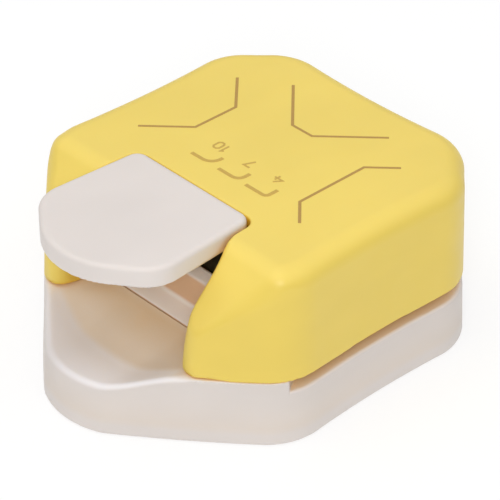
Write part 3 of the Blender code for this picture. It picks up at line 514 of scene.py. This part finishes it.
def surface_net(field, low, high, cell):
    """Vertices on the field's zero surface and the quads between them."""
    axes = [np.arange(a - 1.6 * cell, b + 2.6 * cell, cell) for a, b in zip(low, high)]
    values = field(axes[0][:, None, None], axes[1][None, :, None], axes[2][None, None, :])
    inside = values < 0
    corners = sum(inside[i:i - 1 or None, j:j - 1 or None, k:k - 1 or None].astype(np.int8)
                  for i in (0, 1) for j in (0, 1) for k in (0, 1))
    active = (corners > 0) & (corners < 8)
    points = edge_crossings(values, axes, active)
    index = np.full(active.shape, -1)
    index[active] = np.arange(len(points))
    quads = []
    for axis in range(3):
        order = [axis, (axis + 1) % 3, (axis + 2) % 3]
        grid = inside.transpose(order)
        cells = index.transpose(order)
        first, second = grid[:-1, 1:-1, 1:-1], grid[1:, 1:-1, 1:-1]
        at = np.argwhere(first != second)
        leaving = first[tuple(at.T)]
        a, b, c = at[:, 0], at[:, 1], at[:, 2]
        quad = np.stack([cells[a, b, c], cells[a, b + 1, c], cells[a, b + 1, c + 1],
                         cells[a, b, c + 1]], axis=1)
        quad[~leaving] = quad[~leaving][:, ::-1]
        quads.append(quad)
    for _ in range(PROJECTIONS):
        slope = gradient(field, points, SLOPE_PROBE)
        height = field(*points.T)[:, None]
        move = height * slope / np.maximum((slope ** 2).sum(1, keepdims=True), LEAST_SLOPE)
        points = points - np.clip(move, -cell / 2, cell / 2)
    return points, np.concatenate(quads)


def moulding(name, field, nodes, body, cell, drop=0.0):
    """A moulded piece meshed from its field, inside its CAD node's box or a drop below it."""
    low = np.array(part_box(nodes[0])[0]) / MM - (0, SHIFT_Y, drop)
    high = np.array(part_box(nodes[0])[1]) / MM - (0, SHIFT_Y, 0)
    points, quads = surface_net(field, low, high, cell)
    normals = gradient(field, points, NORMAL_PROBE)
    normals /= np.maximum(np.linalg.norm(normals, axis=1, keepdims=True), 1e-9)
    mesh = bpy.data.meshes.new(name)
    points = (np.clip(points, low, high) + (0, SHIFT_Y, 0)) * MM
    mesh.from_pydata(points.tolist(), [], quads.tolist())
    mesh.validate()
    mesh.shade_smooth()
    mesh.normals_split_custom_set_from_vertices(normals.tolist())
    obj = bpy.data.objects.new(name, mesh)
    bpy.context.scene.collection.objects.link(obj)
    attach(obj, body)
    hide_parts(*nodes)
    return obj


def place(x, y, z):
    """A point of the punch's own plan, in the world."""
    return Vector((x, y + SHIFT_Y, z)) * MM


# ---------------------------------------------------------------- materials

SKY_REACH = 0.026                   # metres, how near a wall has to be to close a place in for the painted bounce shade
FLOOR_LIGHT_Z = 2.0, 6.0            # below these heights the painted bounce shade fades out, as the floor's white light takes over
SOFTNESS = 0.1


def new_material(name):
    made = bpy.data.materials.new(name)
    made.use_nodes = True
    return made, made.node_tree.nodes, made.node_tree.links


def noise(nodes, links, coords, scale, detail, stretch=None):
    """A noise texture in object space; scale is features per metre."""
    texture = nodes.new("ShaderNodeTexNoise")
    texture.inputs["Scale"].default_value = scale
    texture.inputs["Detail"].default_value = detail
    source = coords.outputs["Object"]
    if stretch:
        mapping = nodes.new("ShaderNodeMapping")
        mapping.inputs["Scale"].default_value = stretch
        links.new(source, mapping.inputs["Vector"])
        source = mapping.outputs["Vector"]
    links.new(source, texture.inputs["Vector"])
    return texture.outputs["Fac"]


def ramp(nodes, links, value, low, high, start=0.35, end=0.65):
    """Maps a value between start and end, as noise mostly is, to the range from low to high."""
    node = nodes.new("ShaderNodeMapRange")
    node.inputs["From Min"].default_value = start
    node.inputs["From Max"].default_value = end
    node.inputs["To Min"].default_value = low
    node.inputs["To Max"].default_value = high
    links.new(value, node.inputs["Value"])
    return node.outputs["Result"]


def tinted(nodes, links, value, first, second):
    """A colour between two by a value."""
    node = nodes.new("ShaderNodeMix")
    node.data_type = "RGBA"
    node.inputs["A"].default_value = (*first, 1)
    node.inputs["B"].default_value = (*second, 1)
    links.new(value, node.inputs["Factor"])
    return node.outputs["Result"]


def bump(nodes, links, height, strength, distance, normal=None):
    """Fine relief; distance is its height in metres."""
    node = nodes.new("ShaderNodeBump")
    node.inputs["Strength"].default_value = strength
    node.inputs["Distance"].default_value = distance
    links.new(height, node.inputs["Height"])
    if normal:
        links.new(normal, node.inputs["Normal"])
    return node.outputs["Normal"]


def span(nodes, links, value, low, high):
    """Where a value lies between two limits, from 0 to 1."""
    node = nodes.new("ShaderNodeMapRange")
    node.interpolation_type = "SMOOTHSTEP"
    node.inputs["From Min"].default_value = low
    node.inputs["From Max"].default_value = high
    links.new(value, node.inputs["Value"])
    return node.outputs["Result"]


def multiplied(nodes, links, first, second):
    """Two colours multiplied."""
    node = nodes.new("ShaderNodeMix")
    node.data_type = "RGBA"
    node.blend_type = "MULTIPLY"
    node.inputs["Factor"].default_value = 1.0
    links.new(first, node.inputs["A"])
    links.new(second, node.inputs["B"])
    return node.outputs["Result"]


def product(nodes, links, *values):
    """Several values multiplied."""
    result = values[0]
    for value in values[1:]:
        node = nodes.new("ShaderNodeMath")
        node.operation = "MULTIPLY"
        links.new(result, node.inputs[0])
        links.new(value, node.inputs[1])
        result = node.outputs["Value"]
    return result


def split_axes(nodes, links, vector):
    node = nodes.new("ShaderNodeSeparateXYZ")
    links.new(vector, node.inputs["Vector"])
    return node.outputs


def looking_up(nodes, links):
    """1 on faces that look up, 0 on upright ones."""
    geometry = nodes.new("ShaderNodeNewGeometry")
    return span(nodes, links, split_axes(nodes, links, geometry.outputs["Normal"])["Z"], 0.3, 0.9)


def painted_bounce_shade(nodes, links, coords, shade):
    """Painted shade and bounce light: a warm tint for places with little open sky, where the light has
    met yellow walls first.
    """
    height = split_axes(nodes, links, coords.outputs["Object"])["Z"]
    near_floor = span(nodes, links, height, FLOOR_LIGHT_Z[1] * MM, FLOOR_LIGHT_Z[0] * MM)
    sky = nodes.new("ShaderNodeAmbientOcclusion")
    sky.samples = 8
    sky.inputs["Distance"].default_value = SKY_REACH
    clear = nodes.new("ShaderNodeMath")
    clear.operation = "MAXIMUM"
    links.new(span(nodes, links, sky.outputs["AO"], 0.15, 0.75), clear.inputs[0])
    links.new(near_floor, clear.inputs[1])
    return tinted(nodes, links, clear.outputs["Value"], shade, (1, 1, 1))


def painted_dish_light(nodes, links, coords, painted_ramp_shade, painted_front_light, painted_right_light):
    """Painted light and shade: the yellow cheeks' glow on the dish's ramp, and clear light in front of
    its valley, more to the right.
    """
    position = split_axes(nodes, links, coords.outputs["Object"])
    valley, back = DISH_VALLEY_Y + SHIFT_Y, DISH_BACK_Y + SHIFT_Y
    inside = span(nodes, links, position["Z"], (LAND_Z - 0.05) * MM, (LAND_Z - 0.6) * MM)
    up = looking_up(nodes, links)
    bend = nodes.new("ShaderNodeMath")
    bend.operation = "MULTIPLY_ADD"
    bend.inputs[1].default_value = -DISH_CURVE / MM
    links.new(product(nodes, links, position["X"], position["X"]), bend.inputs[0])
    links.new(position["Y"], bend.inputs[2])
    unbent = bend.outputs["Value"]
    turn_front, turn_back = (valley - 2.0) * MM, (valley + 0.2) * MM
    behind = span(nodes, links, unbent, turn_front, turn_back)
    before = span(nodes, links, unbent, turn_back, turn_front)
    within = span(nodes, links, position["Y"], (back + 0.3) * MM, (back + 0.1) * MM)
    on_ramp = product(nodes, links, inside, up, behind, within)
    in_front = product(nodes, links, inside, up, before)
    # painted light: the front of the dish is lit more towards the right
    rightward = product(nodes, links, in_front, span(nodes, links, position["X"], -8 * MM, 9 * MM))
    shades = [(on_ramp, painted_ramp_shade), (in_front, painted_front_light), (rightward, painted_right_light)]
    tints = [tinted(nodes, links, mask, (1, 1, 1), shade) for mask, shade in shades]
    return multiplied(nodes, links, multiplied(nodes, links, tints[0], tints[1]), tints[2])


def plastic(name, colour, rough, grain, depth, shade, sides, dish=None):
    """Moulded plastic: a spark-eroded grain, faint flow marks, and slightly uneven gloss.

    Depth is how far each colour of light goes into it. Shade, sides and dish are painted light
    and shade: warm bounce and shade in places with little open sky, darker upright faces, and
    the lit and shaded parts of the thumb dish.
    """
    made, nodes, links = new_material(name)
    shader = nodes["Principled BSDF"]
    coords = nodes.new("ShaderNodeTexCoord")
    flow = noise(nodes, links, coords, 45, 3.0, (1.0, 0.6, 1.6))
    fine = noise(nodes, links, coords, 2600, 2.0)
    patches = noise(nodes, links, coords, 220, 4.0)
    darker = tuple(c * 0.965 for c in colour)
    lighter = tuple(min(c * 1.02, 1.0) for c in colour)
    base = tinted(nodes, links, ramp(nodes, links, flow, 0, 1), darker, lighter)
    # painted shade and warm bounce light where the sky is closed in
    if shade:
        base = multiplied(nodes, links, base, painted_bounce_shade(nodes, links, coords, shade))
    # painted shade: upright faces take the darker sides colour, faces that look up keep the full
    # colour
    upright = tinted(nodes, links, looking_up(nodes, links), sides, (1, 1, 1))
    base = multiplied(nodes, links, base, upright)
    # painted light and shade on the thumb dish
    if dish:
        base = multiplied(nodes, links, base, painted_dish_light(nodes, links, coords, *dish))
    links.new(base, shader.inputs["Base Color"])
    links.new(ramp(nodes, links, patches, rough - 0.04, rough + 0.05), shader.inputs["Roughness"])
    normal = bump(nodes, links, flow, 0.12, 0.00004)
    links.new(bump(nodes, links, fine, grain, 0.00002, normal), shader.inputs["Normal"])
    shader.inputs["Subsurface Weight"].default_value = SOFTNESS
    shader.inputs["Subsurface Radius"].default_value = tuple(d * MM for d in depth)
    shader.inputs["Subsurface Scale"].default_value = 1.0
    shader.inputs["Specular IOR Level"].default_value = 0.5
    return made


def metal(name, colour, rough, stretch):
    """Ground or drawn metal: fine scratches along one direction and a slightly stained colour."""
    made, nodes, links = new_material(name)
    shader = nodes["Principled BSDF"]
    coords = nodes.new("ShaderNodeTexCoord")
    lines = noise(nodes, links, coords, 900, 3.0, stretch)
    stains = noise(nodes, links, coords, 160, 3.0)
    stained = tuple(c * 0.8 for c in colour)
    base = tinted(nodes, links, ramp(nodes, links, stains, 0, 1), stained, colour)
    links.new(base, shader.inputs["Base Color"])
    links.new(ramp(nodes, links, lines, rough - 0.08, rough + 0.1), shader.inputs["Roughness"])
    links.new(bump(nodes, links, lines, 0.25, 0.00001), shader.inputs["Normal"])
    shader.inputs["Metallic"].default_value = 1.0
    return made


def print_ink(name, colour):
    """Pad-printed ink: matt, slightly uneven cover."""
    made, nodes, links = new_material(name)
    shader = nodes["Principled BSDF"]
    coords = nodes.new("ShaderNodeTexCoord")
    specks = noise(nodes, links, coords, 5200, 2.0)
    thick = tuple(c * 0.86 for c in colour)
    base = tinted(nodes, links, ramp(nodes, links, specks, 0, 1), thick, colour)
    links.new(base, shader.inputs["Base Color"])
    links.new(ramp(nodes, links, specks, 0.5, 0.62), shader.inputs["Roughness"])
    return made


# Each plastic's tints after its colour are painted light: warm bounce and shade where the sky is
# closed in, then painted shade on upright faces.
YELLOW = plastic("cover_plastic", (0.92, 0.70, 0.145), 0.40, 0.20, (1.6, 1.2, 0.5),
                 (1.07, 0.86, 0.35), (0.88, 0.87, 0.73))
# The base's third tint is painted light and shade on the thumb dish: its ramp, its front and the right
# of its front.
BASE_WHITE = plastic("base_plastic", (0.83, 0.76, 0.715), 0.46, 0.22, (1.6, 1.3, 1.0),
                     (1.04, 0.84, 0.54), (0.82, 0.82, 0.82),
                     ((0.95, 0.90, 0.80), (0.95, 0.98, 1.03), (1.15, 1.18, 1.21)))
LEVER_WHITE = plastic("lever_plastic", (0.80, 0.735, 0.695), 0.55, 0.35, (1.6, 1.3, 1.0),
                      (1.05, 0.86, 0.50), (0.90, 0.90, 0.90))
# The frame has no bounce tint; its tan sides colour is painted shade and yellow bounce light on its
# upright faces.
FRAME_WHITE = plastic("frame_plastic", (0.98, 0.93, 0.90), 0.5, 0.2, (1.6, 1.3, 1.0),
                      None, (0.77, 0.52, 0.32))
STEEL = metal("ground_steel", (0.56, 0.56, 0.57), 0.32, (1.0, 0.08, 1.0))
DARK_STEEL = metal("black_oxide_steel", (0.24, 0.23, 0.20), 0.55, (0.1, 1.0, 1.0))
ZINC = metal("zinc_plate", (0.62, 0.63, 0.64), 0.3, (1.0, 1.0, 0.2))
INK = print_ink("print_ink", (0.52, 0.31, 0.075))
WORN_INK = print_ink("worn_ink", (0.66, 0.43, 0.085))


def wear(obj, material):
    """Gives a piece its material."""
    obj.data.materials.clear()
    obj.data.materials.append(material)


# ---------------------------------------------------------------- pieces

def mouldings():
    """The four moulded pieces; each stands for the CAD node that bounds it."""
    cover = moulding("cover_shell", cover_field, ["top_cover"], "housing", 0.5, COVER_DROP)
    wear(cover, YELLOW)
    base = moulding("base_shell", base_field, ["base_housing"], "housing", 0.5)
    wear(base, BASE_WHITE)
    lever = moulding("thumb_lever", lever_field, ["lever"], "lever_arm", 0.45)
    wear(lever, LEVER_WHITE)
    inner_frame = moulding("mechanism_frame", frame_field, ["inner_frame"], "housing", 0.5)
    wear(inner_frame, FRAME_WHITE)


def line_mark(name, points, width, ink):
    """A printed line of one width along plan points, lying on the cover's top."""
    bm = bmesh.new()
    path = [Vector(p) for p in points]
    left, right = [], []
    for i, p in enumerate(path):
        before = (p - path[i - 1]).normalized() if i else None
        after = (path[i + 1] - p).normalized() if i < len(path) - 1 else None
        along = before or after
        if before and after:
            along = (before + after).normalized()
            stretch = 1 / max(along.dot(before), 0.2)
        else:
            stretch = 1.0
        normal = Vector((-along.y, along.x)) * (width / 2 * stretch)
        left.append(p + normal)
        right.append(p - normal)
    ring = left + right[::-1]
    low = [bm.verts.new(place(p.x, p.y, TOTAL_H - INK_SINK)) for p in ring]
    high = [bm.verts.new(place(p.x, p.y, TOTAL_H + INK_LIFT)) for p in ring]
    count = len(ring)
    for i in range(count):
        j = (i + 1) % count
        bm.faces.new((low[i], low[j], high[j], high[i]))
    half = count // 2
    for i in range(half - 1):
        k = count - 1 - i
        bm.faces.new((high[i], high[i + 1], high[k - 1], high[k]))
        bm.faces.new((low[i + 1], low[i], low[k], low[k - 1]))
    bmesh.ops.recalc_face_normals(bm, faces=bm.faces)
    mesh = bpy.data.meshes.new(name)
    bm.to_mesh(mesh)
    bm.free()
    obj = bpy.data.objects.new(name, mesh)
    bpy.context.scene.collection.objects.link(obj)
    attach(obj, "housing")
    wear(obj, ink)


def corner_marks():
    """The three truncated V lines over the fences: half of the chord, and the legs' length."""
    marks = {"right": (7.78, 6.36), "left": (4.90, 10.12), "back": (2.44, 13.53)}
    for corner, (half_chord, leg) in marks.items():
        (ax, ay), heading, _ = CORNERS[corner]
        cos, sin = math.cos(math.radians(heading)), math.sin(math.radians(heading))
        end = half_chord + leg * math.sqrt(0.5)
        local = [(end, end), (half_chord, half_chord), (half_chord, -half_chord), (end, -end)]
        points = [(ax + u * cos - v * sin, ay + u * sin + v * cos) for u, v in local]
        line_mark(f"corner_mark_{corner}", points, CORNER_MARK_LINE, INK)


def size_marks():
    """Worn pictograms of the three rounded corners with their radii, read from the back."""
    strokes = {
        "4": [[(0.75, 1.6), (0.0, 0.55), (0.78, 0.55)], [(0.95, 1.05), (0.95, 0.0)],
              [(1.12, 0.55), (1.4, 0.55)]],
        "7": [[(0.0, 1.6), (1.1, 1.6), (0.4, 0.0)]],
        "10": [[(0.0, 1.3), (0.35, 1.6), (0.35, 0.0)],
               [(1.0, 0.3), (1.0, 1.3), (1.3, 1.6), (1.7, 1.6), (2.0, 1.3), (2.0, 0.3), (1.7, 0.0),
                (1.3, 0.0), (1.0, 0.3)]],
    }
    turns = [math.pi - math.pi / 2 * i / 8 for i in range(9)]
    for left, text, radius in ((10.6, "4", 0.9), (3.8, "7", 1.6), (-3.0, "10", 2.3)):
        arc_v = PICTOGRAM_HEIGHT - radius
        corner = [(0.0, 0.0)]
        corner += [(radius + radius * math.cos(t), arc_v + radius * math.sin(t)) for t in turns]
        corner.append((PICTOGRAM_WIDTH, PICTOGRAM_HEIGHT))
        points = [(left - u, PICTOGRAM_Y - v) for u, v in corner]
        line_mark(f"size_corner_{text}", points, PICTOGRAM_LINE, WORN_INK)
        for i, stroke in enumerate(strokes[text]):
            points = [(left - NUMERAL_INDENT - u * NUMERAL_SCALE, NUMERAL_Y - v * NUMERAL_SCALE)
                      for u, v in stroke]
            line_mark(f"size_number_{text}_{i}", points, NUMERAL_LINE, WORN_INK)


def spring(name, centre):
    """A round-wire compression spring whose end turns lie flat."""
    z0, z1 = (corner.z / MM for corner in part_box(name))
    low, high = z0 + SPRING_WIRE, z1 - SPRING_WIRE
    steps, around = 26, 10
    count = int(SPRING_TURNS * steps)
    vertices, faces = [], []
    for i in range(count + 1):
        angle = 2 * math.pi * i / steps
        even = min(max((i / steps - SPRING_END) / (SPRING_TURNS - 2 * SPRING_END), 0.0), 1.0)
        climb = mix(even, float(smooth_step(even)), SPRING_EASE)
        height = mix(low, high, climb)
        out = Vector((math.cos(angle), math.sin(angle), 0))
        for j in range(around):
            turn = 2 * math.pi * j / around
            ring = out * (SPRING_RADIUS + SPRING_WIRE * math.cos(turn))
            vertices.append(place(centre[0] + ring.x, centre[1] + ring.y,
                                  height + SPRING_WIRE * math.sin(turn)))
    for i in range(count):
        for j in range(around):
            k = (j + 1) % around
            a, b = i * around, (i + 1) * around
            faces.append((a + j, a + k, b + k, b + j))
    faces.append(tuple(range(around))[::-1])
    faces.append(tuple(count * around + j for j in range(around)))
    mesh = bpy.data.meshes.new(f"{name}_wire")
    mesh.from_pydata(vertices, [], faces)
    mesh.shade_smooth()
    obj = bpy.data.objects.new(f"{name}_wire", mesh)
    bpy.context.scene.collection.objects.link(obj)
    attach(obj, "housing")
    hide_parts(name)
    wear(obj, STEEL)
    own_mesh(obj)


def inner_parts():
    """The springs, and the CAD nodes that are seen as they are: the steel parts, fence and lid."""
    for name, centre in zip(("front", "left", "right"), POSTS):
        spring(f"return_spring_{name}", centre)
    for name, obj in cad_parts.items():
        if name.startswith(("punch_r", "die_plate", "guide_post", "lever_pin", "lid_pin")):
            wear(obj, STEEL)
        elif name in ("guide_plate", "punch_carrier"):
            wear(obj, DARK_STEEL)
        elif "screw" in name:
            wear(obj, ZINC)
        elif name == "paper_fence":
            wear(obj, FRAME_WHITE)
        elif name == "bottom_lid":
            wear(obj, BASE_WHITE)


# ---------------------------------------------------------------- camera and light

AZIMUTH, ELEVATION, ROLL = math.radians(45.946), math.radians(35.316), math.radians(0.773)
TARGET = (20.11, -23.86, 34.26)
DISTANCE = 407.8
LENS = 178.8
SENSOR_WIDTH = 36.0
WORLD_ABOVE, WORLD_BELOW = 0.88, 0.12
WORLD_FRONT = 0.1
FLOOR_SIZE, FLOOR_GREY, FLOOR_GLOW = 6.0, 0.45, 0.58


def camera():
    """A long lens from the front right, above, with a slight roll."""
    back = Vector((math.sin(AZIMUTH) * math.cos(ELEVATION), -math.cos(AZIMUTH) * math.cos(ELEVATION),
                   math.sin(ELEVATION)))
    right = Vector((math.cos(AZIMUTH), math.sin(AZIMUTH), 0.0))
    up = back.cross(right)
    data = bpy.data.cameras.new("camera")
    data.lens = LENS
    data.sensor_width = SENSOR_WIDTH
    data.clip_start = 0.01
    obj = bpy.data.objects.new("camera", data)
    bpy.context.scene.collection.objects.link(obj)
    x_axis = right * math.cos(ROLL) + up * math.sin(ROLL)
    y_axis = up * math.cos(ROLL) - right * math.sin(ROLL)
    matrix = obj.matrix_world.copy()
    for i in range(3):
        matrix[i][0], matrix[i][1], matrix[i][2] = x_axis[i], y_axis[i], back[i]
        matrix[i][3] = (place(*TARGET) + back * DISTANCE * MM)[i]
    obj.matrix_world = matrix
    bpy.context.scene.camera = obj


def area_light(name, position, size, power):
    """A round soft light at a place in metres, turned towards the punch."""
    data = bpy.data.lights.new(name, "AREA")
    data.shape = "DISK"
    data.size = size
    data.energy = power
    obj = bpy.data.objects.new(name, data)
    bpy.context.scene.collection.objects.link(obj)
    obj.location = position
    obj.rotation_euler = Vector(position).to_track_quat("Z", "Y").to_euler()


def studio():
    """A white floor in a light tent that is brightest in front and dimmer below the horizon."""
    bpy.ops.mesh.primitive_plane_add(size=FLOOR_SIZE, location=(0, 0, 0))
    floor = bpy.context.object
    floor.name = "floor"
    made, nodes, links = new_material("floor_paper")
    shader = nodes["Principled BSDF"]
    shader.inputs["Base Color"].default_value = (FLOOR_GREY, FLOOR_GREY, FLOOR_GREY, 1)
    shader.inputs["Roughness"].default_value = 0.9
    shader.inputs["Specular IOR Level"].default_value = 0.1
    shader.inputs["Emission Color"].default_value = (1, 1, 1, 1)
    shader.inputs["Emission Strength"].default_value = FLOOR_GLOW
    floor.data.materials.append(made)
    world = bpy.data.worlds.new("studio")
    world.use_nodes = True
    nodes, links = world.node_tree.nodes, world.node_tree.links
    background = nodes["Background"]
    background.inputs["Color"].default_value = (1, 1, 1, 1)
    coords = nodes.new("ShaderNodeTexCoord")
    direction = split_axes(nodes, links, coords.outputs["Generated"])
    above = ramp(nodes, links, direction["Z"], WORLD_BELOW, WORLD_ABOVE, 0.0, 0.7)
    ahead = ramp(nodes, links, direction["Y"], 1 + WORLD_FRONT, 1 - WORLD_FRONT, -1.0, 1.0)
    links.new(product(nodes, links, above, ahead), background.inputs["Strength"])
    bpy.context.scene.world = world
    area_light("key", (-0.08, -0.15, 0.95), 0.6, 0.7)
    area_light("near_camera", (0.56, -0.60, 0.57), 0.3, 2.6)
    bpy.context.scene.view_settings.view_transform = "Standard"


mouldings()
corner_marks()
size_marks()
inner_parts()
studio()
camera()
